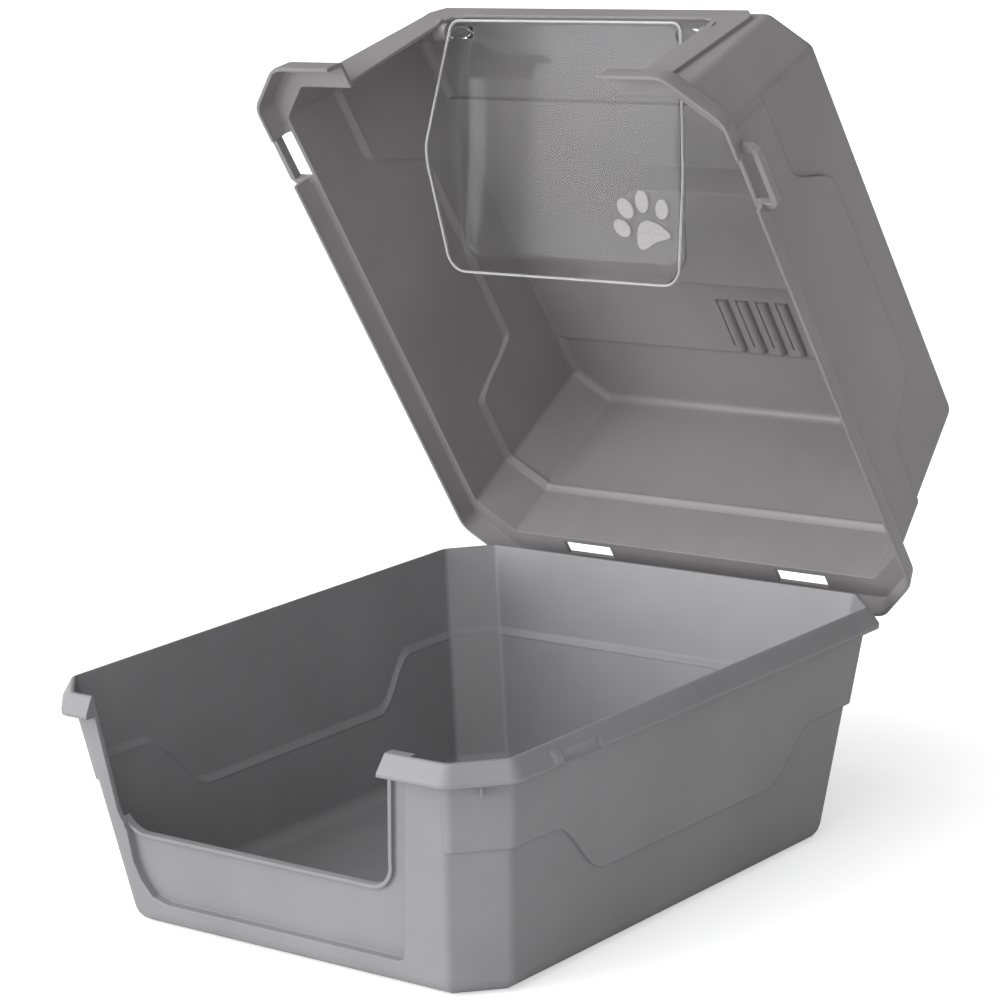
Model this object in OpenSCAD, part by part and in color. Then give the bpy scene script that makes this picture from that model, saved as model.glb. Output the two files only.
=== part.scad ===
// Hooded litter box: an open-front pan, a lift-up hood on a rear hinge and a clear swing flap.
// X points right, Y to the back and Z up. The origin is the centre of the pan's underside.
// The hood is drawn in its closed place, then turned about the rear hinge to where it rests open.

/* [Litter pan] */
// Half width of the pan's mouth, inside the wall, in mm
pan_mouth_x = 216; // [180:1:250]
// Half length of the pan's mouth, inside the wall
pan_mouth_y = 249; // [200:1:290]
// Height of the rim above the floor
pan_h = 184; // [150:1:220]
// Wall thickness of the pan
pan_wall = 2.8; // [2:0.1:4]
// Half width of the pan at its foot
pan_foot_x = 190.8; // [160:0.1:210]
// Reach of the foot to the front
pan_foot_front = 230.5; // [190:0.5:245]
// Reach of the foot to the back
pan_foot_back = 216.2; // [190:0.1:245]
// Cut of the sloping corner faces, along X and along Y
corner_cut = 32.6; // [15:0.1:50]
// Radius between a wall and a corner face
corner_r = 9; // [2:0.5:20]
// Radius between the walls and the floor
foot_r = 13; // [3:0.5:25]
// Sideways step between the upper and the lower wall
wall_step = 3.2; // [1:0.1:4]
// Height of the step line near the front of the side walls
pan_line_front = 115; // [80:1:150]
// Height of the step line in the middle of the side walls
pan_line_mid = 68; // [40:1:110]
// Height of the step line at the back
pan_line_back = 109; // [70:1:150]

/* [Pan rim] */
// Width of the rim beyond the wall
rim_reach = 7.7; // [6:0.1:12]
// Height of the rim's turned-down skirt
skirt_h = 16; // [14:1:22]
// Thickness of the rim's skirt
skirt_t = 2.6; // [2:0.1:4]
// Length of the hollow that takes each hood loop
catch_len = 42; // [20:1:60]
// Place of that hollow's middle along Y
catch_y = -151; // [-190:1:-100]

/* [Front entry] */
// Height of the entry's lip
entry_lip = 76; // [50:1:110]
// Left end of the entry at the rim
entry_left = -163; // [-175:1:-120]
// Right end of the entry at the rim
entry_right = 130; // [110:1:160]
// How much nearer to the middle the left side stands at the lip
entry_left_in = 7; // [0:1:20]
// How much nearer to the middle the right side stands at the lip
entry_right_in = 16; // [0:1:30]
// Radius of the entry's lower corners
entry_r = 22; // [8:1:40]
// Thickness of the bead round the entry
bead_t = 3.2; // [1.5:0.1:5]
// How far the bead stands out
bead_out = 3; // [1:0.1:5]
// Depth of the sunk front panel
panel_sunk = 6; // [2:0.5:10]
// Left end of the sunk front panel
panel_left = -151; // [-160:1:-130]
// Right end of the sunk front panel at the rim
panel_right = 149; // [130:1:160]
// Height of the sunk panel's lower edge
panel_low = 21; // [15:1:60]

/* [Hood] */
// Height of the hood's roof above the pan's rim when closed
hood_rise = 153; // [110:1:190]
// Wall thickness of the hood
hood_wall = 2.6; // [2:0.1:4]
// Half width of the hood wall at its rim
hood_rim_x = 218.8; // [190:0.1:230]
// Half length of the hood wall at its rim
hood_rim_y = 239; // [210:1:250]
// Half width of the roof
roof_x = 198.6; // [170:0.1:210]
// Reach of the roof to the front
roof_front = 205; // [180:1:230]
// Reach of the roof to the back
roof_back = 213.4; // [180:0.1:235]
// Radius of the roof's edge
roof_r = 9; // [3:0.5:20]
// Width of the gap between the pan's skirt and the hood's skirt
skirt_gap = 1.7; // [1.2:0.1:3]
// Thickness of the hood's skirt
hood_skirt_t = 2.8; // [2:0.1:4]
// Thickness of the hood rim's top
hood_flange_t = 2.8; // [2:0.1:4]
// Height of the hood rim, from its top to the end of its skirt
hood_skirt_h = 17.4; // [12:0.1:22]
// Height of the loops that close over the pan's rim
loop_h = 7.5; // [5:0.5:12]
// Gap between the two rims when closed
rim_gap = 0.6; // [0.3:0.1:2]
// Height of the step line above the pan's rim near the hood's front
hood_line_front = 57; // [30:1:85]
// Height of the step line above the pan's rim in the middle of the hood
hood_line_mid = 106; // [80:1:125]
// Height of the step line above the pan's rim at the hood's back
hood_line_back = 53; // [30:1:85]

/* [Hood entrance] */
// Half width of the entrance
door_x = 132; // [100:1:150]
// Height of the entrance above the pan's rim
door_h = 135.5; // [100:0.5:145]
// Half width of the raised frame round the entrance
frame_x = 160; // [135:1:170]
// How far that frame stands out
frame_out = 3; // [1:0.5:6]

/* [Roof] */
// Front end of the sunk roof band
band_front = -115; // [-150:1:-80]
// Back end of the sunk roof band
band_back = 136; // [100:1:160]
// Depth of the sunk roof band
band_sunk = 4; // [2:0.5:8]
// Half width of the handle pocket
pocket_x = 80; // [60:1:90]
// Sideways place of the handle pocket's middle
pocket_mid = 53; // [-20:1:60]
// Front end of the handle pocket
pocket_front = 55; // [40:1:80]
// Back end of the handle pocket
pocket_back = 50; // [40:1:80]
// Depth of the handle pocket
pocket_deep = 24; // [15:1:35]
// Number of vent slots
vent_count = 6; // [3:1:8]
// Distance from one vent slot to the next
vent_pitch = 20; // [12:1:30]
// Place of the first vent slot
vent_first_x = 3; // [-60:1:40]
// Width of a vent slot
vent_w = 3.4; // [2:0.1:4]
// Length of a vent slot
vent_len = 50; // [30:1:60]

/* [Rear hinge] */
// Distance of the hinge line behind the inside of the pan's mouth
hinge_back = 12.5; // [8:0.5:20]
// Distance of the hinge line below the pan's rim
hinge_drop = 33; // [28:0.5:40]
// Angle between the closed hood and the open hood
open_deg = 61; // [50:0.5:75]
// Radius of the hinge pin
hinge_pin_r = 3.1; // [2:0.1:5]
// Radial gap round the hinge pin
hinge_play = 0.35; // [0.3:0.05:0.6]
// Distance of each hinge's middle from the centre line
hinge_x = 110; // [80:1:150]
// Width of the hood's hinge arm
arm_w = 26; // [15:1:40]
// Half width of the window in the hood's rear rim
window_half = 24.5; // [15:0.5:30]

/* [Flap door] */
// Half width of the flap's flat panel
flap_x = 113; // [95:1:120]
// Height of the panel below the pins
flap_drop = 178; // [150:1:185]
// Slope of the panel: how far its lower edge stands in front of the pins
flap_lean = 16.5; // [0:0.5:30]
// Distance of the bent front edge in front of the pins
flap_bend_out = 36; // [20:1:40]
// Distance of that bend below the pins
flap_bend_down = 92; // [60:1:110]
// Wall thickness of the flap
flap_t = 2.2; // [1.5:0.1:3]
// Sideways place of the paw print's middle
paw_x = 77; // [40:1:85]
// Height of the paw print's middle above the flap's lower edge
paw_up = 33; // [28:1:90]
// How far the paw print stands out
paw_t = 0.8; // [0.5:0.1:1.5]
// Radius of the flap's pins
flap_pin_r = 3; // [2:0.1:4]
// Distance of the flap's pins behind the hood's front edge
flap_pin_in = 31.2; // [25:0.1:40]
// Distance of the flap's pins below the roof
flap_pin_down = 37.5; // [30:0.5:50]

/* [Carry handle] */
// Half distance between the handle's arms, outside
bail_x = 74; // [55:1:78]
// Width of the handle's arms
bail_arm = 8; // [5:0.5:12]
// Distance of the handle's pivot behind the pocket's front edge
bail_in = 17; // [14:1:25]
// Distance of the handle's pivot below the roof band
bail_down = 9; // [7:0.5:12]
// Distance from the pivot to the middle of the grip
bail_len = 70; // [50:1:78]

/* [Hidden] */
seg = 4;
fine = 40;
rate_x = (pan_mouth_x + pan_wall - pan_foot_x) / pan_h;
rate_f = (pan_mouth_y + pan_wall - pan_foot_front) / pan_h;
rate_b = (pan_mouth_y + pan_wall - pan_foot_back) / pan_h;
hood_h = hood_rise;
hood_top = pan_h + hood_rise;
rim_x = pan_mouth_x + pan_wall + rim_reach;
rim_y = pan_mouth_y + pan_wall + rim_reach;
shell_x = rim_x + skirt_gap + hood_skirt_t;
shell_y = rim_y + skirt_gap + hood_skirt_t;
hood_z = pan_h + rim_gap;
flange_top = hood_z + hood_flange_t;
hood_skirt_z = flange_top - hood_skirt_h;
hinge_y = pan_mouth_y + hinge_back;
hinge_z = pan_h - hinge_drop;
flap_pin_y = flap_pin_in - hood_rim_y;
flap_pin_z = hood_top - flap_pin_down;
line_shift = 2.4;
// Small inset that keeps the parts above and below a step line from sharing a face
tuck = 0.4;
band_z = hood_top - band_sunk;
pocket_z = band_z - pocket_deep;
bail_y = bail_in - pocket_front;
bail_z = band_z - bail_down;
front_tilt = atan(rate_f);
door_tilt = atan((hood_rim_y - roof_front) / hood_h);
flap_open_y = hinge_y + (flap_pin_y - hinge_y) * cos(open_deg)
  + (flap_pin_z - hinge_z) * sin(open_deg);
flap_open_z = hinge_z - (flap_pin_y - hinge_y) * sin(open_deg)
  + (flap_pin_z - hinge_z) * cos(open_deg);
// Slope of the flap's inner panel face and its place at the height of the pins
panel_slope = flap_lean / flap_drop * (flap_drop - 13) / (flap_drop - 9);
panel_y = flap_lean / flap_drop - flap_t + panel_slope * (9 - flap_t);

// Corner points of a rectangle with its four corners cut at 45 degrees, counter-clockwise
function oct(hx, yf, yb, c) = [
  [hx - c, -yf], [hx, -yf + c], [hx, yb - c], [hx - c, yb],
  [c - hx, yb], [-hx, yb - c], [-hx, -yf + c], [c - hx, -yf]];

// The same outline at height z, with each of its eight corners rounded to radius r
function ring(hx, yf, yb, c, r, z) = let (v = oct(hx, yf, yb, c))
  [for (k = [0:7]) let (a = 45 * k, m = v[k] + r / cos(22.5) * [cos(a + 112.5), sin(a + 112.5)])
    for (j = [0:seg]) let (p = a - 90 + 45 * j / seg) [m.x + r * cos(p), m.y + r * sin(p), z]];

// Outline of the pan's wall at height z, moved in by d, its sides and back also by s
function pan_ring(z, d, s) = ring(
  pan_foot_x + rate_x * z - d - s,
  pan_foot_front + rate_f * z - d - (s > 0 ? 0 : tuck),
  pan_foot_back + rate_b * z - d - s,
  corner_cut - 0.586 * d, max(corner_r - d, 2), z);

// Outline of the hood's wall at height z, moved in by d, its sides and back also by s
function hood_ring(z, d, s) = let (t = (z - pan_h) / hood_h) ring(
  hood_rim_x + (roof_x - hood_rim_x) * t - d - s,
  hood_rim_y + (roof_front - hood_rim_y) * t - d - (s > 0 ? 0 : tuck),
  hood_rim_y + (roof_back - hood_rim_y) * t - d - s,
  corner_cut - 0.586 * d - s + (s > 0 ? 0 : tuck), max(corner_r - d, 2), z);

// Smooth change from 0 to 1
function ease(t) = t * t * (3 - 2 * t);

// Step line as points (y, z): level, eased change, level, eased change, level
function step_line(y1, y2, y3, y4, z1, z2, z3) = concat(
  [[-320, z1]],
  [for (i = [0:8]) [y1 + (y2 - y1) * i / 8, z1 + (z2 - z1) * ease(i / 8)]],
  [for (i = [0:8]) [y3 + (y4 - y3) * i / 8, z2 + (z3 - z2) * ease(i / 8)]],
  [[320, z3]]);

// Outline (x, z) of the pan's entry, grown by g: open at the top, rounded at its lower corners
function entry_shape(g, top) = let (l = entry_left + entry_left_in, q = entry_right - entry_right_in)
  concat(
    [[entry_right + g + (top - pan_h) * 0.18, top]],
    [for (a = [0:-10:-90]) [q - entry_r + (entry_r + g) * cos(a),
      entry_lip + entry_r + (entry_r + g) * sin(a)]],
    [for (a = [-90:-10:-180]) [l + entry_r + (entry_r + g) * cos(a),
      entry_lip + entry_r + (entry_r + g) * sin(a)]],
    [[entry_left - g - (top - pan_h) * 0.08, top]]);

// Outline (x, z) of the sunk front panel, grown by g
function panel_shape(g) = [
  [panel_right + 10 + g, 240], [panel_right + g, pan_h], [panel_right - 30 + g, panel_low + 9],
  [panel_right - 32 + g, panel_low + 2 - g], [panel_right - 39 + g, panel_low - g],
  [panel_left + 30 - g, panel_low - g], [panel_left + 16 - g, panel_low + 4 - g],
  [panel_left + 6 - g, panel_low + 17 - g], [panel_left + 1 - g, panel_low + 32],
  [panel_left - g, panel_low + 59], [panel_left - g, 240]];

// Where a point (y, z) of the closed hood goes when the hood opens
module opened() {
  translate([0, hinge_y, hinge_z])
    rotate([-open_deg, 0, 0])
      translate([0, -hinge_y, -hinge_z])
        children();
}

// Solid between outlines that lie one above the other
module loft(rings) {
  n = len(rings[0]);
  m = len(rings);
  polyhedron(
    points = [for (r = rings) for (p = r) p],
    faces = concat(
      [[for (i = [0:n - 1]) i]],
      [[for (i = [n - 1:-1:0]) (m - 1) * n + i]],
      [for (k = [0:m - 2]) for (i = [0:n - 1])
        [k * n + i, (k + 1) * n + i, (k + 1) * n + (i + 1) % n, k * n + (i + 1) % n]]));
}

// Solid along X with an outline of points (y, z)
module along_x(points, x0, x1) {
  translate([x0, 0, 0])
    rotate([90, 0, 90])
      linear_extrude(x1 - x0)
        polygon(points);
}

// Solid along Y with an outline of points (x, z)
module along_y(points, y0, y1) {
  translate([0, y1, 0])
    rotate([90, 0, 0])
      linear_extrude(y1 - y0)
        polygon(points);
}

module rod_x(r, x0, x1, y, z) {
  translate([x0, y, z])
    rotate([0, 90, 0])
      cylinder(r = r, h = x1 - x0, $fn = fine);
}

module both_sides() {
  children();
  mirror([1, 0, 0])
    children();
}

// Outline of the rims at height z, standing out by d from the inside of the pan's mouth
function rim_ring(d, z) = ring(pan_mouth_x + d, pan_mouth_y + d, pan_mouth_y + d,
  corner_cut + 0.586 * (d - pan_wall), corner_r - pan_wall + d, z);

// Frame of the pan's sloping front wall: its outer face is y = 0
module on_pan_front() {
  translate([0, -pan_foot_front, 0])
    rotate([front_tilt, 0, 0])
      children();
}

// Frame of the hood's sloping front wall: its outer face is y = 0
module on_hood_front() {
  translate([0, -hood_rim_y, pan_h])
    rotate([-door_tilt, 0, 0])
      children();
}

pan_line = step_line(-165, -105, 100, 150, pan_line_front, pan_line_mid, pan_line_back);
hood_line = step_line(-130, -80, 98, 134, pan_h + hood_line_front, pan_h + hood_line_mid,
  pan_h + hood_line_back);

// Space above the pan's step line, raised by d
module above_pan_line(d) {
  along_x(concat([for (p = pan_line) [p.x, p.y + d]], [[320, 400], [-320, 400]]), -300, 300);
}

// Space below the hood's step line, lowered by d
module below_hood_line(d) {
  along_x(concat([for (p = hood_line) [p.x, p.y - d]], [[320, 100], [-320, 100]]), -300, 300);
}

module pan_body_outer() {
  loft(concat(
    [for (a = [0:22.5:90]) pan_ring(foot_r * (1 - cos(a)), foot_r * (1 - sin(a)), wall_step)],
    [pan_ring(pan_h - 1, 0, wall_step)]));
  intersection() {
    loft([pan_ring(30, 0, 0), pan_ring(pan_h - 1, 0, 0)]);
    above_pan_line(0);
  }
}

module pan_cavity() {
  difference() {
    union() {
      loft(concat(
        [for (a = [0:22.5:90]) pan_ring(
          pan_wall + (foot_r - 2) * (1 - cos(a)),
          pan_wall + (foot_r - 2) * (1 - sin(a)), wall_step)],
        [pan_ring(pan_h + 1, pan_wall, wall_step)]));
      intersection() {
        loft([pan_ring(30, pan_wall, 0), pan_ring(pan_h + 1, pan_wall, 0)]);
        above_pan_line(line_shift);
      }
    }
    on_pan_front()
      along_y(panel_shape(pan_wall), -2, panel_sunk + pan_wall);
  }
}

module pan_rim() {
  difference() {
    loft([
      rim_ring(pan_wall + rim_reach, pan_h - skirt_h),
      rim_ring(pan_wall + rim_reach, pan_h - skirt_h + 3),
      rim_ring(3, pan_h - 0.7),
      rim_ring(1.9, pan_h)]);
    difference() {
      loft([
        rim_ring(pan_wall + rim_reach - skirt_t, pan_h - skirt_h - 1),
        rim_ring(pan_wall + rim_reach - skirt_t, pan_h - skirt_h + 1.8),
        rim_ring(1, pan_h - 3.5),
        rim_ring(0.5, pan_h - 2.8)]);
      // Solid backing behind the hollows for the hood's loops
      both_sides()
        translate([pan_mouth_x, catch_y - catch_len / 2 - 14, pan_h - skirt_h - 2])
          cube([20, catch_len + 18, skirt_h]);
      // End plates beside the entry
      for (x = [entry_left - 5, entry_right - 1])
        translate([x, -rim_y - 2, pan_h - skirt_h - 2])
          cube([6, 20, skirt_h + 2]);
    }
  }
}

module pan_hinge() {
  for (x = [hinge_x - arm_w / 2 - 11, hinge_x + arm_w / 2 + 7])
    along_x([
      [hinge_y - 18.5, hinge_z + 17.7], [hinge_y - 3.1, hinge_z + 17.7],
      [hinge_y + 4.5, hinge_z + 7.6], [hinge_y + 14.7, hinge_z + 4.8], [hinge_y + 22.5, hinge_z + 9.1],
      [hinge_y + 23, hinge_z + 6], [hinge_y + 7, hinge_z - 7.4], [hinge_y - 5.5, hinge_z - 7.4],
      [hinge_y - 17.9, hinge_z - 3]], x, x + 4);
  rod_x(hinge_pin_r, hinge_x - arm_w / 2 - 10, hinge_x + arm_w / 2 + 10, hinge_y, hinge_z);
}

module litter_pan() {
  color([0.47, 0.48, 0.49])
    difference() {
      union() {
        difference() {
          pan_body_outer();
          on_pan_front()
            along_y(panel_shape(0), -20, panel_sunk);
        }
        // Bead round the entry
        on_pan_front() {
          along_y(entry_shape(bead_t, pan_h - 8), panel_sunk - bead_out, panel_sunk + 1);
          intersection() {
            along_y(entry_shape(bead_t, pan_h - 8), -1.4, 1);
            translate([entry_left - 20, -10, 0])
              cube([panel_left - entry_left + 20, 20, pan_h]);
          }
        }
        difference() {
          pan_rim();
          // Hollows for the hood's loops
          both_sides()
            translate([rim_x + 6, catch_y - catch_len / 2, pan_h - skirt_h / 2 - 1.5])
              rotate([-90, 0, 0])
                cylinder(r = 10, h = catch_len, $fn = fine);
        }
        // Catch wedges in front of those hollows
        both_sides()
          along_y([[rim_x - 6, pan_h - 3.4], [rim_x + 1.3, pan_h - 7], [rim_x + 1.3, pan_h - 14.6],
            [rim_x - 3, pan_h - 17.5]], catch_y - catch_len / 2 - 11, catch_y - catch_len / 2 - 3);
        // Stiffening ribs under the rim at the front corners
        both_sides()
          translate([pan_mouth_x - 16, -pan_mouth_y + 16, pan_h - skirt_h - 9])
            rotate([0, 0, 45])
              translate([-1, -8, 0])
                cube([2, 10, 12]);
        both_sides()
          pan_hinge();
      }
      pan_cavity();
      on_pan_front()
        along_y(entry_shape(0, 240), -40, 24);
    }
}

module hood_outer() {
  loft(concat(
    [hood_ring(hood_z, 0, wall_step)],
    [for (a = [90:-22.5:0])
      hood_ring(hood_top - roof_r * (1 - cos(a)), roof_r * (1 - sin(a)), wall_step)]));
  intersection() {
    loft([hood_ring(hood_z, 0, 0), hood_ring(hood_top - 27, 0, 0)]);
    below_hood_line(0);
  }
  // Raised frame round the entrance
  intersection() {
    on_hood_front()
      along_y([[-frame_x, -10], [frame_x, -10], [frame_x, door_h + 4], [frame_x - 10, door_h + 14],
        [10 - frame_x, door_h + 14], [-frame_x, door_h + 4]], -frame_out, 2);
    translate([-300, -300, hood_z])
      cube([600, 600, 200]);
  }
}

module hood_cavity() {
  difference() {
    union() {
      loft(concat(
        [hood_ring(hood_z - 1, hood_wall, wall_step)],
        [for (a = [90:-22.5:0]) hood_ring(
          hood_top - hood_wall - (roof_r - 2) * (1 - cos(a)),
          hood_wall + (roof_r - 2) * (1 - sin(a)), wall_step)]));
      intersection() {
        loft([hood_ring(hood_z - 1, hood_wall, 0), hood_ring(hood_top - 27, hood_wall, 0)]);
        below_hood_line(line_shift);
      }
      on_hood_front()
        along_y([[3 - frame_x, 4], [frame_x - 3, 4], [frame_x - 3, door_h + 3],
          [frame_x - 12, door_h + 11], [12 - frame_x, door_h + 11], [3 - frame_x, door_h + 3]],
          hood_wall - frame_out, hood_wall + 2);
    }
    // The sunk roof band and the handle pocket stand into the hood
    translate([-300, band_front - hood_wall, band_z - hood_wall])
      cube([600, band_back - band_front + 2 * hood_wall, 60]);
    translate([pocket_mid, 0, 0])
      loft([
        ring(pocket_x - 3, pocket_front - 5, pocket_back - 5, 9, 4, pocket_z - hood_wall),
        ring(pocket_x + 3, pocket_front + 3, pocket_back + 3, 9, 4, band_z)]);
    // Vent louvres
    for (k = [0:vent_count - 1])
      translate([vent_first_x + k * vent_pitch + 6.4, band_back - vent_len - 6, band_z - hood_wall])
        rotate([-90, 0, 0])
          cylinder(r = 4.6, h = vent_len + 4, $fn = 24);
  }
}

module hood_rim() {
  g = rim_x - pan_mouth_x + skirt_gap;
  difference() {
    loft([
      rim_ring(g + hood_skirt_t, hood_skirt_z),
      rim_ring(g + hood_skirt_t, hood_skirt_z + 3),
      rim_ring(g - 1.4, flange_top - 2.1),
      rim_ring(g - 3.6, flange_top)]);
    loft([
      rim_ring(g, hood_skirt_z - 1),
      rim_ring(g, hood_skirt_z + 1.5),
      rim_ring(g - 4.3, hood_z - 0.7),
      rim_ring(g - 5, hood_z)]);
    // Windows above the hinges
    both_sides()
      translate([hinge_x - window_half, hood_rim_y + 2, hood_z - 5])
        cube([2 * window_half, 12.5, 20]);
  }
  // Loops that close over the pan's rim
  both_sides()
    intersection() {
      translate([0, 0, hood_skirt_z - 2])
        linear_extrude(40)
          polygon([[shell_x - 20, catch_y - 46], [shell_x, catch_y - 46], [shell_x + 6, catch_y - 45],
            [shell_x + 10.5, catch_y - 41], [shell_x + 10.5, catch_y + 5],
            [shell_x + 6, catch_y + 10], [shell_x, catch_y + 12], [shell_x - 20, catch_y + 12]]);
      along_y([[shell_x - 4, flange_top - loop_h], [shell_x - 9.5, flange_top - 2.2],
        [shell_x - 12, flange_top - 0.3], [shell_x + 20, flange_top - 0.3],
        [shell_x + 20, flange_top - loop_h]], -240, 0);
    }
}

module hood_hinge() {
  difference() {
    union() {
      translate([hinge_x - arm_w / 2, rim_y + skirt_gap, hinge_z])
        cube([arm_w, hood_skirt_t, hood_skirt_z - hinge_z + 1]);
      rod_x(6.9, hinge_x - arm_w / 2, hinge_x + arm_w / 2, hinge_y, hinge_z);
    }
    rod_x(hinge_pin_r + hinge_play, hinge_x - arm_w, hinge_x + arm_w, hinge_y, hinge_z);
    // Snap mouth
    translate([hinge_x - arm_w, hinge_y - 2.4, hinge_z - 12])
      cube([2 * arm_w, 4.8, 12]);
  }
}

module hood_closed() {
  difference() {
    union() {
      hood_outer();
      hood_rim();
      both_sides()
        hood_hinge();
    }
    hood_cavity();
    // Entrance
    on_hood_front()
      along_y([[-door_x, -40], [door_x, -40], [door_x, door_h - 14], [door_x - 4, door_h - 4],
        [door_x - 14, door_h], [14 - door_x, door_h], [4 - door_x, door_h - 4],
        [-door_x, door_h - 14]], -40, 12);
    // Windows of the rim loops
    both_sides()
      translate([hood_rim_x + 1.2, catch_y - 40, hood_skirt_z - 5])
        cube([shell_x + 5.5 - hood_rim_x - 1.2, 45, 40]);
    // Handle pocket
    translate([pocket_mid, 0, 0])
      loft([
        ring(pocket_x - 6, pocket_front - 8, pocket_back - 8, 8, 3, pocket_z),
        ring(pocket_x, pocket_front, pocket_back, 8, 3, band_z + 1)]);
    // Sunk roof band
    translate([-300, band_front, band_z])
      cube([600, band_back - band_front, 60]);
    // Vent slots
    for (k = [0:vent_count - 1])
      translate([vent_first_x + k * vent_pitch - vent_w / 2, band_back - vent_len - 5, band_z - 20])
        cube([vent_w, vent_len, 40]);
    // Holes for the carry handle's pins
    rod_x(flap_pin_r + 0.35, pocket_mid - pocket_x - 8, pocket_mid + pocket_x + 8, bail_y, bail_z);
  }
  // Pads under the carry handle's grip
  for (x = [pocket_mid - bail_x + 16, pocket_mid + bail_x - 26])
    translate([x, bail_y + bail_len - 5, pocket_z - 0.5])
      cube([10, 10, bail_z - 4.8 - pocket_z]);
  // Bosses for the flap's pins
  both_sides()
    difference() {
      union() {
        rod_x(7, door_x - 6.5, door_x + 6, flap_pin_y, flap_pin_z);
        translate([door_x + 0.5, flap_pin_y - 9, flap_pin_z - 5.5])
          cube([5.2, 9, 11]);
      }
      rod_x(flap_pin_r + 0.35, door_x - 10, door_x + 5.5, flap_pin_y, flap_pin_z);
    }
}

module hood() {
  color([0.50, 0.50, 0.51])
    opened()
      hood_closed();
}

// Shape of the flap: flat panel at the back, bent front edge, both moved in by g.
// The places are measured from the pins: y forward is negative, z down is negative.
module flap_hull(g, back, front) {
  hull() {
    for (s = [-1, 1]) {
      for (p = [
        [flap_x - 7 - 8, 1, 10], [flap_x - 14, -flap_drop + 14, 14]])
        translate([s * (p.x), -flap_lean * (-p.y) / flap_drop - back, p.y])
          rotate([90, 0, 0])
            cylinder(r = p.z - g, h = 0.4, $fn = 32);
      for (p = [
        [flap_x - 7, -11, 2, 9], [flap_x + 7, -flap_bend_out, -flap_bend_down, 9],
        [flap_x - 13.5, -31, -flap_drop + 7, 17]])
        translate([s * (p[0]), p[1] - front, p[2]])
          rotate([90, 0, 0])
            cylinder(r = p[3] - g, h = 0.4, $fn = 32);
    }
  }
}

module flap_door() {
  color([0.86, 0.89, 0.90, 0.35])
    translate([0, flap_open_y, flap_open_z]) {
      difference() {
        flap_hull(0, 0, 0);
        flap_hull(flap_t, flap_t, 6);
      }
      both_sides() {
        rod_x(5, flap_x - 12, flap_x + 10, 0, 0);
        rod_x(flap_pin_r, flap_x + 9, door_x + 4.6, 0, 0);
      }
    }
}

// Ellipse as points: middle, half sizes and turn
function oval(x, z, a, b, w) = [for (i = [0:15]) let (t = 22.5 * i)
  [x + a * cos(t) * cos(w) - b * sin(t) * sin(w), z + a * cos(t) * sin(w) + b * sin(t) * cos(w)]];

module paw_print() {
  color([0.92, 0.92, 0.92])
    translate([0, flap_open_y + panel_y, flap_open_z])
      rotate([-atan(panel_slope), 0, 0])
        translate([paw_x, 0, paw_up - flap_drop]) {
          along_y(oval(-26.4, -3.6, 9.2, 6.2, -30), -paw_t, 0);
          along_y(oval(-23.4, 11.8, 9.6, 6.6, -42), -paw_t, 0);
          along_y(oval(-7.4, 17.8, 6.4, 9.2, 12), -paw_t, 0);
          along_y(oval(12, 12.4, 6.4, 8, 8), -paw_t, 0);
          along_y([[-8.5, 1.4], [-4, 3.6], [1, 3.6], [7, 2], [13, -1], [18, -4], [21, -7], [20, -10],
            [15, -11], [9, -12.5], [3, -15.5], [-2, -19], [-7, -20], [-10.5, -18], [-12, -13],
            [-12, -7], [-11, -2]], -paw_t, 0);
        }
}

module carry_handle() {
  color([0.44, 0.45, 0.46])
    opened()
      translate([pocket_mid, 0, 0]) {
        both_sides() {
          translate([bail_x - bail_arm, bail_y, bail_z - 5])
            cube([bail_arm, bail_len, 10]);
          rod_x(5, bail_x - bail_arm, bail_x, bail_y, bail_z);
          rod_x(flap_pin_r, bail_x - 1, pocket_x + 1, bail_y, bail_z);
        }
        translate([-bail_x, bail_y + bail_len - 6, bail_z - 5])
          cube([2 * bail_x, 12, 10]);
      }
}

litter_pan();
hood();
flap_door();
paw_print();
carry_handle();
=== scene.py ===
# %% [markdown]
# # A hooded litter box, dressed in Blender
#
# The CAD model gives every solid its true size and place. This script loads it as a
# fixed frame, finishes its edges, gives each plastic its own surface, makes the clear
# flap, its paw print and the soft ledges in the walls as smooth surfaces, and lights the
# whole like a catalogue picture.

import bmesh
import bpy
import numpy as np
from mathutils import Matrix


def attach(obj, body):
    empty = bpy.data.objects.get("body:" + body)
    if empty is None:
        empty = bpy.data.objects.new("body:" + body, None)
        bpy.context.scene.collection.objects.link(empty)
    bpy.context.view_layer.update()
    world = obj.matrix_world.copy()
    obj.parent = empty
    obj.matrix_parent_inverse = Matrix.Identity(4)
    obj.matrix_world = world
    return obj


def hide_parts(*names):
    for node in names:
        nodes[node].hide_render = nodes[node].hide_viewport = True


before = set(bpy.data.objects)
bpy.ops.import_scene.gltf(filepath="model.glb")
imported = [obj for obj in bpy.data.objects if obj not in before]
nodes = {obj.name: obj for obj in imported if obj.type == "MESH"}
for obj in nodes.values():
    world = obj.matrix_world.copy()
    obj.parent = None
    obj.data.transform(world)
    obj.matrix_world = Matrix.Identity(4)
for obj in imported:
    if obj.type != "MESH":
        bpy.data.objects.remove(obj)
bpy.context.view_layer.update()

# %% [markdown]
# ## The grey plastic
#
# The pan and the hood are injection-moulded polypropylene. Such a surface is satin: it
# has a fine spark-eroded grain from the mould, a faint mottling where the melt flowed,
# and edges that catch the light because they are slightly rounded and rubbed.
# A picture texture would stretch over the long walls, so noise on Object coordinates is
# used: it has the same grain size everywhere, in millimetres.

# %% Helpers for materials
def new_material(name):
    """An empty node material: returns (material, its node maker, its linker, its shader)."""
    mat = bpy.data.materials.new(name)
    mat.use_nodes = True
    tree = mat.node_tree
    shader = tree.nodes["Principled BSDF"]
    return mat, tree.nodes, tree.links, shader


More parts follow.
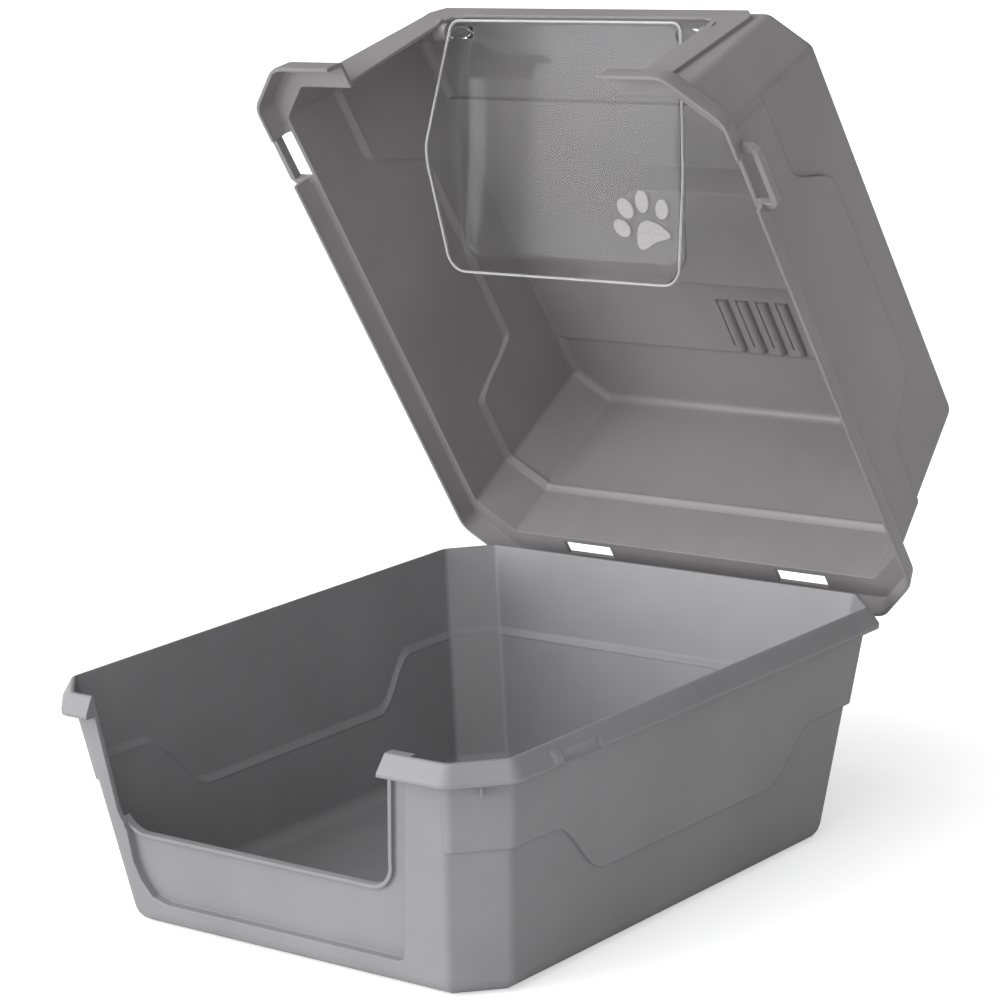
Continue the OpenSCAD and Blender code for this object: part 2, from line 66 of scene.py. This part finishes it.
def noise(nodes_, links_, coord, scale, detail, roughness=0.5):
    """Noise on a coordinate: scale is in cells per metre."""
    tex = nodes_.new("ShaderNodeTexNoise")
    tex.inputs["Scale"].default_value = scale
    tex.inputs["Detail"].default_value = detail
    tex.inputs["Roughness"].default_value = roughness
    links_.new(coord, tex.inputs["Vector"])
    return tex.outputs["Fac"]


def ramp(nodes_, links_, fac, low, high, a, b):
    """A colour ramp from colour a at fac = low to colour b at fac = high."""
    r = nodes_.new("ShaderNodeValToRGB")
    r.color_ramp.elements[0].position = low
    r.color_ramp.elements[1].position = high
    r.color_ramp.elements[0].color = (*a, 1)
    r.color_ramp.elements[1].color = (*b, 1)
    links_.new(fac, r.inputs["Fac"])
    return r.outputs["Color"]


def spread(nodes_, links_, fac, low, high):
    """The number fac, from 0 to 1, spread over low to high."""
    m = nodes_.new("ShaderNodeMapRange")
    m.inputs["To Min"].default_value = low
    m.inputs["To Max"].default_value = high
    links_.new(fac, m.inputs["Value"])
    return m.outputs["Result"]


# %% The moulded grey
def grey_plastic(name, colour):
    """Satin plastic: slow mottling in colour, finer mottling in roughness, a grain in the bump."""
    mat, n, l, shader = new_material(name)
    coord = n.new("ShaderNodeTexCoord").outputs["Object"]
    flow = noise(n, l, coord, 9, 3, 0.55)
    dark = tuple(c * 0.94 for c in colour)
    light = tuple(c * 1.06 for c in colour)
    l.new(ramp(n, l, flow, 0.35, 0.65, dark, light), shader.inputs["Base Color"])
    patch = noise(n, l, coord, 60, 4, 0.6)
    l.new(spread(n, l, patch, 0.36, 0.48), shader.inputs["Roughness"])
    grain = noise(n, l, coord, 1600, 2, 0.5)
    edge = n.new("ShaderNodeBevel")
    edge.samples = 6
    edge.inputs["Radius"].default_value = 0.0016
    bump = n.new("ShaderNodeBump")
    l.new(edge.outputs["Normal"], bump.inputs["Normal"])
    bump.inputs["Strength"].default_value = 0.12
    bump.inputs["Distance"].default_value = 0.0002
    l.new(grain, bump.inputs["Height"])
    l.new(bump.outputs["Normal"], shader.inputs["Normal"])
    shader.inputs["IOR"].default_value = 1.49
    return mat


grey = grey_plastic("moulded grey", (0.212, 0.212, 0.218))
warm_grey = grey_plastic("moulded grey hood", (0.218, 0.209, 0.212))
print("made", grey.name, warm_grey.name)

# %% [markdown]
# ## Rounded edges on the moulded pieces
#
# The CAD solids end in knife edges, but a moulded edge always has a small radius, and
# that radius is what draws the bright lines in a photograph. Remodelling each edge by
# hand would be slow, so a short stack of modifiers does it instead and leaves the CAD
# meshes as they are: weld the loose triangles, dissolve the flat ones into single
# faces, bevel every edge that is sharp enough, then shade smooth up to a chosen angle.

# %% Smooth shading up to an angle
def smooth_group(angle):
    """Node group: every face smooth, every edge whose faces differ by more than angle sharp."""
    g = bpy.data.node_groups.new("smooth to angle", "GeometryNodeTree")
    g.interface.new_socket("Geometry", in_out="INPUT", socket_type="NodeSocketGeometry")
    g.interface.new_socket("Geometry", in_out="OUTPUT", socket_type="NodeSocketGeometry")
    n, l = g.nodes, g.links
    start, end = n.new("NodeGroupInput"), n.new("NodeGroupOutput")
    faces, edges = n.new("GeometryNodeSetShadeSmooth"), n.new("GeometryNodeSetShadeSmooth")
    edges.domain = "EDGE"
    bend = n.new("GeometryNodeInputMeshEdgeAngle")
    flat = n.new("FunctionNodeCompare")
    flat.operation = "LESS_EQUAL"
    flat.inputs["B"].default_value = np.radians(angle)
    l.new(bend.outputs["Unsigned Angle"], flat.inputs["A"])
    l.new(start.outputs[0], faces.inputs["Geometry"])
    l.new(faces.outputs[0], edges.inputs["Geometry"])
    l.new(flat.outputs["Result"], edges.inputs["Shade Smooth"])
    l.new(edges.outputs[0], end.inputs[0])
    return g


smooth = smooth_group(38)


# %% Edge stack
def soften(obj, width, angle=24):
    """Weld, merge flat triangles, bevel edges sharper than the angle, then smooth the shading."""
    weld = obj.modifiers.new("weld", "WELD")
    weld.merge_threshold = 2e-6
    flat = obj.modifiers.new("flat", "DECIMATE")
    flat.decimate_type = "DISSOLVE"
    flat.angle_limit = np.radians(0.5)
    bev = obj.modifiers.new("edge", "BEVEL")
    bev.width = width
    bev.segments = 2
    bev.limit_method = "ANGLE"
    bev.angle_limit = np.radians(angle)
    bev.use_clamp_overlap = True
    shade = obj.modifiers.new("shade", "NODES")
    shade.node_group = smooth
    normal = obj.modifiers.new("normals", "WEIGHTED_NORMAL")
    normal.keep_sharp = True
    normal.weight = 80


def wear(obj, mat):
    """Gives the whole object one material."""
    obj.data.materials.clear()
    obj.data.materials.append(mat)


for name in ("litter_pan", "hood", "carry_handle"):
    wear(nodes[name], grey if name == "litter_pan" else warm_grey)
    soften(nodes[name], 0.0008)
    print(name, len(nodes[name].data.polygons), "faces")

# %% [markdown]
# ## Surfaces from rings of points
#
# The remaining shapes are soft, so each is made as a grid of numpy points: outlines with
# the same number of points, one after the other, joined ring by ring into quads. One
# function builds all of them: the flap, its bead and pins, the paw print and the ledges.

# %% Rings of points
def link(obj):
    """Puts a new object into the scene."""
    bpy.context.scene.collection.objects.link(obj)
    return obj


def skin(name, rings, closed=True, caps=(False, False), mat=None):
    """Mesh over rings, an array (rings, points, 3): quads join ring k to ring k + 1."""
    rings = np.asarray(rings, float)
    m, n, _ = rings.shape
    i, j = np.meshgrid(np.arange(m - 1), np.arange(n if closed else n - 1), indexing="ij")
    k = (j + 1) % n
    quads = np.stack([i * n + j, i * n + k, (i + 1) * n + k, (i + 1) * n + j], -1)
    faces = quads.reshape(-1, 4).tolist()
    if caps[0]:
        faces.append(list(range(n))[::-1])
    if caps[1]:
        faces.append(list(range((m - 1) * n, m * n)))
    mesh = bpy.data.meshes.new(name)
    mesh.from_pydata(rings.reshape(-1, 3).tolist(), [], faces)
    work = bmesh.new()
    work.from_mesh(mesh)
    bmesh.ops.remove_doubles(work, verts=work.verts, dist=1e-6)
    bmesh.ops.recalc_face_normals(work, faces=work.faces)
    work.to_mesh(mesh)
    work.free()
    mesh.polygons.foreach_set("use_smooth", np.ones(len(mesh.polygons), bool))
    if mat:
        mesh.materials.append(mat)
    return link(bpy.data.objects.new(name, mesh))


def line(p, q, n):
    """n points between p and q, both ends left out."""
    t = np.linspace(0, 1, n + 2)[1:-1, None]
    return np.asarray(p) * (1 - t) + np.asarray(q) * t


def arc(cx, cz, r, a0, a1, n):
    """n points (x, z) on an arc from a0 to a1 degrees: centre + r (cos a, sin a)."""
    t = np.radians(np.linspace(a0, a1, n))
    return np.stack([cx + r * np.cos(t), cz + r * np.sin(t)], 1)


def stand(points, y_at):
    """Points (x, z) stood up in space, with y a function of z."""
    return np.stack([points[:, 0], y_at(points[:, 1]), points[:, 1]], 1)


def turn_x(points, degrees, axis=(0, 0, 0)):
    """Points turned from Y towards Z about a line along X: y' = y cos - z sin, and so on."""
    c, s = np.cos(np.radians(degrees)), np.sin(np.radians(degrees))
    p = np.asarray(points, float) - axis
    y, z = p[..., 1], p[..., 2]
    return np.stack([p[..., 0], y * c - z * s, y * s + z * c], -1) + axis


# %% [markdown]
# ## The clear flap
#
# The flap is one thin moulded tray: a flat sheet whose top, sides and bottom turn forward
# in soft bends, with a bead along the free edge. The CAD flap is faceted, and facets show
# badly in clear plastic, because each one bends the light its own way. The rings of the
# smooth tray run outwards over the sheet, round the bend and forward to the free edge.

# %% Outlines of the tray, in metres from the pins
PIN = np.array([0.0, 0.1638599, 0.6334533])
DROP, LEAN, WALL = 0.178, 0.0165, 0.0022
SLOPE = LEAN / DROP * (0.165 / 0.169)
TOP_GAP = LEAN / DROP * 0.001


def tray_outline(top_x, top_z, top_r, mid_x, mid_z, low_x, low_z, low_r):
    """Closed outline (x, z): rounded at the top and the bottom, with a soft bend at mid_z."""
    upper = arc(top_x, top_z, top_r, 90, 0, 9)
    lower = arc(low_x, low_z, low_r, 0, -90, 9)
    p, q = upper[-1], lower[0]
    z = np.linspace(p[1], q[1], 27)[1:-1]
    x = np.interp(-z, [-p[1], -mid_z, -q[1]], [p[0], mid_x, q[0]])
    for _ in range(3):
        x[1:-1] = (x[:-2] + 2 * x[1:-1] + x[2:]) / 4
    right = np.concatenate([upper, np.stack([x, z], 1), lower])
    left = right[::-1] * [-1, 1]
    return np.concatenate([right, line(right[-1], left[0], 11), left, line(left[-1], right[0], 11)])


def panel_y(z):
    """Place of the tray's sheet, on its back face, at height z below the pins."""
    return TOP_GAP + SLOPE * (z + 0.009)


def front_y(z):
    """Place of the free edge: out to the bend, then slowly back."""
    return np.interp(-z, [-0.011, 0.086, 0.098, 0.171, 0.19],
                     [-0.0105, -0.0352, -0.0354, -0.0312, -0.0300])


back = tray_outline(top_x=0.0978, top_z=0.001, top_r=0.010, mid_x=0.1095, mid_z=-0.088,
                    low_x=0.0988, low_z=-0.1637, low_r=0.0140)
front = tray_outline(top_x=0.1058, top_z=0.0017, top_r=0.009, mid_x=0.1288, mid_z=-0.092,
                     low_x=0.0993, low_z=-0.1707, low_r=0.0170)
corner, edge = stand(back, panel_y), stand(front, front_y)
print("tray outline", len(back), "points")


# %% The tray
def clear_plastic(name, colour, rough, passes=1.0):
    """Clear polystyrene: passes is the share of light that goes through, the rest is milky."""
    mat, n, l, shader = new_material(name)
    coord = n.new("ShaderNodeTexCoord").outputs["Object"]
    swirl = noise(n, l, coord, 14, 2, 0.5)
    l.new(spread(n, l, swirl, rough, rough + 0.05), shader.inputs["Roughness"])
    tint = tuple(c * 0.97 for c in colour)
    l.new(ramp(n, l, swirl, 0.3, 0.7, tint, colour), shader.inputs["Base Color"])
    shader.inputs["Transmission Weight"].default_value = passes
    shader.inputs["IOR"].default_value = 1.16
    return mat


clear = clear_plastic("clear plastic", (0.97, 0.975, 0.98), 0.02)
edge_clear = clear_plastic("clear plastic edge", (0.95, 0.955, 0.96), 0.2, passes=0.72)

# over the sheet, from near its middle to where the bend starts
centre = np.array([0.0, -0.085])
rings = [stand(centre + (back - centre) * t, panel_y) for t in (0.02, 0.25, 0.5, 0.75, 0.94)]
# round the bend, on a quadratic Bezier: bend's start, corner, a third of the way forward
start, third = rings[-1], corner + (edge - corner) * 0.33
rings += [start * (1 - t) ** 2 + corner * 2 * t * (1 - t) + third * t ** 2
          for t in np.linspace(0.12, 1, 8)]
# straight forward to the free edge
rings += [corner + (edge - corner) * t for t in np.linspace(0.45, 1, 7)]
tray = skin("flap_tray", np.array(rings) + PIN, caps=(True, False), mat=clear)
wall = tray.modifiers.new("wall", "SOLIDIFY")
wall.thickness = WALL * 0.75
wall.offset = -1
print("tray made of", len(rings), "rings of", len(back), "points")


# %% Bead and pins
def tube(name, path, radius, mat):
    """Closed tube round a closed path (points, 3), made of eight-sided rings."""
    ahead = np.roll(path, -1, 0) - np.roll(path, 1, 0)
    ahead /= np.linalg.norm(ahead, axis=1, keepdims=True)
    side = np.cross(ahead, [0.0, 1.0, 0.0])
    side /= np.linalg.norm(side, axis=1, keepdims=True)
    up = np.cross(side, ahead)
    a = np.radians(np.arange(0, 360, 45))[None, :, None]
    loops = path[:, None] + radius * (np.cos(a) * side[:, None] + np.sin(a) * up[:, None])
    return skin(name, np.concatenate([loops, loops[:1]]), mat=mat)


def turned_x(name, profile, at, mat):
    """Solid turned about an axis along X: profile holds (x, radius) pairs."""
    a = np.radians(np.arange(0, 360, 15))
    profile = np.asarray(profile, float)
    x, r = np.repeat(profile[:, :1], len(a), 1), profile[:, 1:]
    points = np.stack([x, r * np.cos(a), r * np.sin(a)], -1) + at
    return skin(name, points, caps=(True, True), mat=mat)


# a boss inside the tray's side, then the thinner pin with its chamfered tip
PIN_PROFILE = [(0.1035, 0.0046), (0.1135, 0.005), (0.1215, 0.005), (0.1222, 0.0044),
               (0.1224, 0.003), (0.1352, 0.003), (0.1364, 0.0024)]
BEAD_R, BEAD_BACK = 0.0011, np.array([0, 0.0002, 0])

bead = tube("flap_bead", edge + PIN - BEAD_BACK, BEAD_R, edge_clear)
pins = [turned_x(f"flap_pin_{side}", [(sign * x, r) for x, r in PIN_PROFILE], PIN, clear)
        for side, sign in (("left", -1), ("right", 1))]
for obj in [tray, bead] + pins:
    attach(obj, "flap")
    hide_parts("flap_door")
    print(obj.name, len(obj.data.polygons), "faces")

# %% [markdown]
# ## The paw print
#
# Four toe pads and one main pad are printed on the sheet. Each is a low dome: the outline
# is repeated inwards while its height follows a quarter sine, so that the rim meets the
# sheet steeply and the middle is flat.

# %% Outlines of the pads, in millimetres
def oval(x, z, a, b, turn, n=40):
    """Points (x, z) of an ellipse with half sizes a and b, turned by turn degrees."""
    t, w = np.linspace(0, 2 * np.pi, n, endpoint=False), np.radians(turn)
    return np.stack([x + a * np.cos(t) * np.cos(w) - b * np.sin(t) * np.sin(w),
                     z + a * np.cos(t) * np.sin(w) + b * np.sin(t) * np.cos(w)], 1)


def rounded(points, rounds=3):
    """Closed outline cut at its corners again and again (Chaikin's scheme)."""
    p = np.asarray(points, float)
    for _ in range(rounds):
        q = np.roll(p, -1, 0)
        p = np.stack([p * 0.75 + q * 0.25, p * 0.25 + q * 0.75], 1).reshape(-1, 2)
    return p


toes = [oval(-26.4, -3.6, 9.2, 6.2, -30), oval(-23.4, 11.8, 9.6, 6.6, -42),
        oval(-7.4, 17.8, 6.4, 9.2, 12), oval(12, 12.4, 6.4, 8, 8)]
heel = rounded([(-8.5, 1.4), (-4, 3.6), (1, 3.6), (7, 2), (13, -1), (18, -4), (21, -7),
                (20, -10), (15, -11), (9, -12.5), (3, -15.5), (-2, -19), (-7, -20),
                (-10.5, -18), (-12, -13), (-12, -7), (-11, -2)])
print("toes", len(toes), "and a heel pad of", len(heel), "points")


# %% The pads
def dome(outline, height, steps=6):
    """Rings (steps, points, 3) from the outline inwards and up along -Y.

    At t from 0 to 1 the ring has 1 - 0.16 (1 - cos) - 0.05 t of the outline's size and lies
    height sin up, both of a quarter turn.
    """
    c = outline.mean(0)
    t = np.linspace(0, 1, steps)[:, None, None]
    xz = c + (outline[None] - c) * (1 - 0.16 * (1 - np.cos(t * np.pi / 2)) - 0.05 * t)
    y = np.broadcast_to(-height * np.sin(t[..., 0] * np.pi / 2), xz.shape[:2])
    return np.stack([xz[..., 0], y, xz[..., 1]], -1)


def frosted_print(name):
    """Pale ink, half clear, with a fine speckle."""
    mat, n, l, shader = new_material(name)
    speck = noise(n, l, n.new("ShaderNodeTexCoord").outputs["Object"], 500, 4, 0.6)
    ink = ramp(n, l, speck, 0.35, 0.65, (0.36, 0.35, 0.355), (0.44, 0.43, 0.435))
    l.new(ink, shader.inputs["Base Color"])
    l.new(spread(n, l, speck, 0.5, 0.7), shader.inputs["Roughness"])
    shader.inputs["Alpha"].default_value = 0.62
    return mat


PAD_RISE = 0.0007
PAW_PLACE = np.array([0.077, -0.0001, 0.033 - DROP])
# the sheet's front face, and the lean that the pads follow
sheet = PIN + [0, TOP_GAP - WALL + SLOPE * (0.009 - WALL), 0]
lean = np.degrees(np.arctan(SLOPE))
ink = frosted_print("frosted print")
for k, pad_line in enumerate(toes + [heel]):
    points = turn_x(dome(pad_line / 1000, PAD_RISE) + PAW_PLACE, -lean) + sheet
    pad = skin(f"paw_pad_{k + 1}", points, caps=(True, True), mat=ink)
    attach(pad, "flap")
    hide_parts("paw_print")
    print(pad.name, len(pad.data.polygons), "faces")

# %% [markdown]
# ## The soft ledges
#
# Inside the pan and the hood the wall steps in along a wavy line, and in the photograph
# that step is a soft sloping ledge that catches the light. The CAD has a square step. A
# strip laid into the step gives the slope. Its path is the wall's own outline: a rectangle
# with cut and rounded corners, whose half sizes change evenly with height. The height
# depends on where along Y a point lies, so the two are solved together in a few rounds.

# %% Sizes of the walls, in metres
# half width, way to the front and way to the back: at the floor, the two rims and the roof
PAN_FOOT, PAN_RIM = np.array([0.1908, 0.2305, 0.2162]), np.array([0.2188, 0.2518, 0.2518])
HOOD_RIM, HOOD_ROOF = np.array([0.2188, 0.239, 0.239]), np.array([0.1986, 0.205, 0.2134])
PAN_H, HOOD_H = 0.184, 0.153
PAN_WALL, HOOD_WALL = 0.0028, 0.0026
PAN_R, HOOD_R = 0.0062, 0.0064
CUT = 0.0326
# moving a wall in by d takes (2 - sqrt 2) d off each leg of its cut corners
CUT_LOSS = 0.586
# small changes that bring the strips onto the CAD's leaning fronts and the hood's cut corners
FRONT_IN, HOOD_CUT_MORE = np.array([0, 0.0004, 0]), 0.0004
HINGE, OPEN = np.array([0, 0.2615, 0.151]), 61
# the seven sides, from the front right cut to the front left one, as they are divided
SIDES = np.array([0.03, 0.42, 0.03, 0.36, 0.03, 0.42, 0.03])


# %% Outline of a wall at any height
def wall_outline(hx, front, back, cut, r, step=0.004):
    """Points (x, y) of the cut and rounded rectangle, from the front right round the back.

    Each corner arc has its middle r / cos(22.5) inside its corner; the front side is left open.
    """
    v = np.array([[hx - cut, -front], [hx, -front + cut], [hx, back - cut], [hx - cut, back],
                  [cut - hx, back], [-hx, back - cut], [-hx, -front + cut], [cut - hx, -front]])
    a = 45.0 * np.arange(8)
    inward = np.radians(a + 112.5)
    mid = v + r / np.cos(np.radians(22.5)) * np.stack([np.cos(inward), np.sin(inward)], 1)
    t = np.radians(a[:, None] - 90 + np.linspace(0, 45, 7))
    arcs = mid[:, None] + r * np.stack([np.cos(t), np.sin(t)], -1)
    out = [arcs[0]]
    for k, count in enumerate(np.maximum(2, np.round(SIDES / step)).astype(int)):
        out += [line(arcs[k][-1], arcs[k + 1][0], count), arcs[k + 1]]
    return np.concatenate(out)


def pan_wall_at(z, inset):
    """Inner face of the pan's upper wall at height z, moved in by inset."""
    d = PAN_WALL + inset
    half = PAN_FOOT + (PAN_RIM - PAN_FOOT) / PAN_H * z - d - FRONT_IN
    return wall_outline(*half, CUT - CUT_LOSS * d, PAN_R)


def hood_wall_at(z, inset):
    """Inner face of the closed hood's lower wall at height z, moved in by inset."""
    d = HOOD_WALL + inset
    half = HOOD_RIM + (HOOD_ROOF - HOOD_RIM) * (z - PAN_H) / HOOD_H - d - FRONT_IN
    return wall_outline(*half, CUT - CUT_LOSS * d + HOOD_CUT_MORE, HOOD_R)


def step_height(y, at, levels):
    """Height of the step line at y: three levels, with an eased change 3 e^2 - 2 e^3 between."""
    e1 = np.clip((y - at[0]) / (at[1] - at[0]), 0, 1)
    e2 = np.clip((y - at[2]) / (at[3] - at[2]), 0, 1)
    low, mid, high = levels
    return low + (mid - low) * e1 * e1 * (3 - 2 * e1) + (high - mid) * e2 * e2 * (3 - 2 * e2)


# %% Ledges in the pan and in the hood
def ledge(name, wall_at, at, levels, shift, profile, opened, mat):
    """Strip along the step: profile holds (inset, height) pairs measured from the step.

    The step line is raised by shift, and the strip is turned open about the hood's hinge.
    """
    rings = []
    for inset, lift in profile:
        base, top = wall_at(0.0, inset), wall_at(1.0, inset)
        z = np.full(len(base), 0.1)
        for _ in range(5):
            xy = base + (top - base) * z[:, None]
            z = step_height(xy[:, 1], at, levels) + shift + lift
        rings.append(np.column_stack([xy, z]))
    return skin(name, turn_x(rings, -opened, HINGE), closed=False, mat=mat)


# from the wall down the slope to the step's lip, then back into the wall below
soft = np.array([(-0.0003, 0.0060), (0.0001, 0.0048), (0.0007, 0.0034), (0.0015, 0.0021),
                 (0.0023, 0.0011), (0.0029, 0.0004), (0.0033, -0.0005), (0.0034, -0.0016),
                 (0.0027, -0.0022)])
LINE_SHIFT = 0.0024
pan_ledge = ledge("pan_ledge", pan_wall_at, (-0.165, -0.105, 0.100, 0.150),
                  (0.115, 0.068, 0.109), LINE_SHIFT, soft, 0, grey)
# the hood is drawn closed, with its strip upside down, and turned to where it rests
hood_ledge = ledge("hood_ledge", hood_wall_at, (-0.130, -0.080, 0.098, 0.134),
                   (0.241, 0.290, 0.237), -LINE_SHIFT, soft * [1, -1], OPEN, warm_grey)
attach(pan_ledge, "pan")
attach(hood_ledge, "lid")
for obj in (pan_ledge, hood_ledge):
    print(obj.name, len(obj.data.polygons), "faces")

# %% [markdown]
# ## Camera
#
# The view was fitted to the photograph: a long lens, 40 degrees round to the right of
# the front and 13 degrees above the floor, rolled by under 4 degrees.

# %% Camera
def axes_matrix(right, up, back, place):
    """World matrix whose columns are three axes and a place."""
    m = np.eye(4)
    m[:3] = np.stack([right, up, back, place], 1)
    return Matrix(m.tolist())


def look(azimuth, elevation, roll, place, lens):
    """A camera at place, in metres, turned by the three angles in degrees."""
    a, e, r = np.radians([azimuth, elevation, roll])
    back = np.array([np.sin(a) * np.cos(e), -np.cos(a) * np.cos(e), np.sin(e)])
    right = np.array([np.cos(a), np.sin(a), 0.0])
    up = np.cross(back, right)
    right, up = np.cos(r) * right + np.sin(r) * up, np.cos(r) * up - np.sin(r) * right
    data = bpy.data.cameras.new("camera")
    data.lens = lens
    data.sensor_width = 36
    data.clip_end = 20
    cam = link(bpy.data.objects.new("camera", data))
    cam.matrix_world = axes_matrix(right, up, back, place)
    bpy.context.scene.camera = cam
    return cam


camera = look(40.44, 12.99, -3.67, (1.6808, -1.9305, 0.8851), 123.672)
print("lens", camera.data.lens, "mm")

# %% [markdown]
# ## Floor and light
#
# A catalogue picture has a white ground with a faint shadow. A floor lit hard enough to
# be white would throw light back onto the box, so the floor is a pale grey that glows
# only for rays that come from the camera, straight or through the clear flap. The sky
# does the same: white for those rays, a weaker dome for all others. The dome is brightest
# in front of the box, a large lamp stands at the front left, and a small one fills the
# right wall.

# %% Floor
def seen_directly(nodes_, links_):
    """1 for rays from the camera, straight or through clear plastic, and 0 for others."""
    path = nodes_.new("ShaderNodeLightPath")
    either = nodes_.new("ShaderNodeMath")
    either.operation = "MAXIMUM"
    links_.new(path.outputs["Is Camera Ray"], either.inputs[0])
    links_.new(path.outputs["Is Transmission Ray"], either.inputs[1])
    return either.outputs[0]


def plane(name, size, z):
    """A square sheet of one face, facing up."""
    h = size / 2
    mesh = bpy.data.meshes.new(name)
    mesh.from_pydata([(-h, -h, z), (h, -h, z), (h, h, z), (-h, h, z)], [], [(0, 1, 2, 3)])
    return link(bpy.data.objects.new(name, mesh))


def pale_floor(name, colour, glow):
    """A matt grey whose emission is glow for rays from the camera and 0 for others."""
    mat, n, l, shader = new_material(name)
    shader.inputs["Base Color"].default_value = (*colour, 1)
    shader.inputs["Roughness"].default_value = 0.8
    shader.inputs["Specular IOR Level"].default_value = 0.0
    shader.inputs["Emission Color"].default_value = (1, 1, 1, 1)
    strength = spread(n, l, seen_directly(n, l), 0.0, glow)
    l.new(strength, shader.inputs["Emission Strength"])
    return mat


floor = plane("floor", 30, -0.0005)
floor.data.materials.append(pale_floor("pale floor", (0.82, 0.82, 0.82), 0.52))
print("floor", floor.data.materials[0].name)


# %% Lamps
def area_light(name, place, target, size, power):
    """A soft square lamp at place, shining at target."""
    data = bpy.data.lights.new(name, "AREA")
    data.shape = "SQUARE"
    data.size = size
    data.energy = power
    place, target = np.array(place, float), np.array(target, float)
    back = (place - target) / np.linalg.norm(place - target)
    right = np.cross([0, 0, 1.0], back)
    right = right / np.linalg.norm(right)
    obj = link(bpy.data.objects.new(name, data))
    obj.matrix_world = axes_matrix(right, np.cross(back, right), back, place)
    return obj


area_light("key", (-1.5, -3.1, 0.6), (0, 0, 0.4), size=1.9, power=66)
area_light("fill", (1.9, -1.0, 0.3), (0.1, 0, 0.05), size=1.0, power=6)
print("lamps: key, fill")

# %% Sky
SKY_FRONT = (-0.42, -0.83, 0.36)
SKY_MID, SKY_TOP, SKY_SEEN = 0.22, 2.4, 1.1

world = bpy.data.worlds.new("studio")
bpy.context.scene.world = world
world.use_nodes = True
n, l = world.node_tree.nodes, world.node_tree.links
sky = n["Background"]
sky.inputs["Color"].default_value = (1, 1, 1, 1)
# the dome: SKY_TOP where a ray points to the front, down to SKY_MID at the sides and behind
towards = n.new("ShaderNodeVectorMath")
towards.operation = "DOT_PRODUCT"
l.new(n.new("ShaderNodeTexCoord").outputs["Generated"], towards.inputs[0])
towards.inputs[1].default_value = SKY_FRONT
pick = n.new("ShaderNodeMix")
pick.data_type = "FLOAT"
l.new(seen_directly(n, l), pick.inputs[0])
l.new(spread(n, l, towards.outputs["Value"], SKY_MID, SKY_TOP), pick.inputs[2])
pick.inputs[3].default_value = SKY_SEEN
l.new(pick.outputs[0], sky.inputs["Strength"])
bpy.context.scene.view_settings.view_transform = "Standard"
print("sky", world.name)
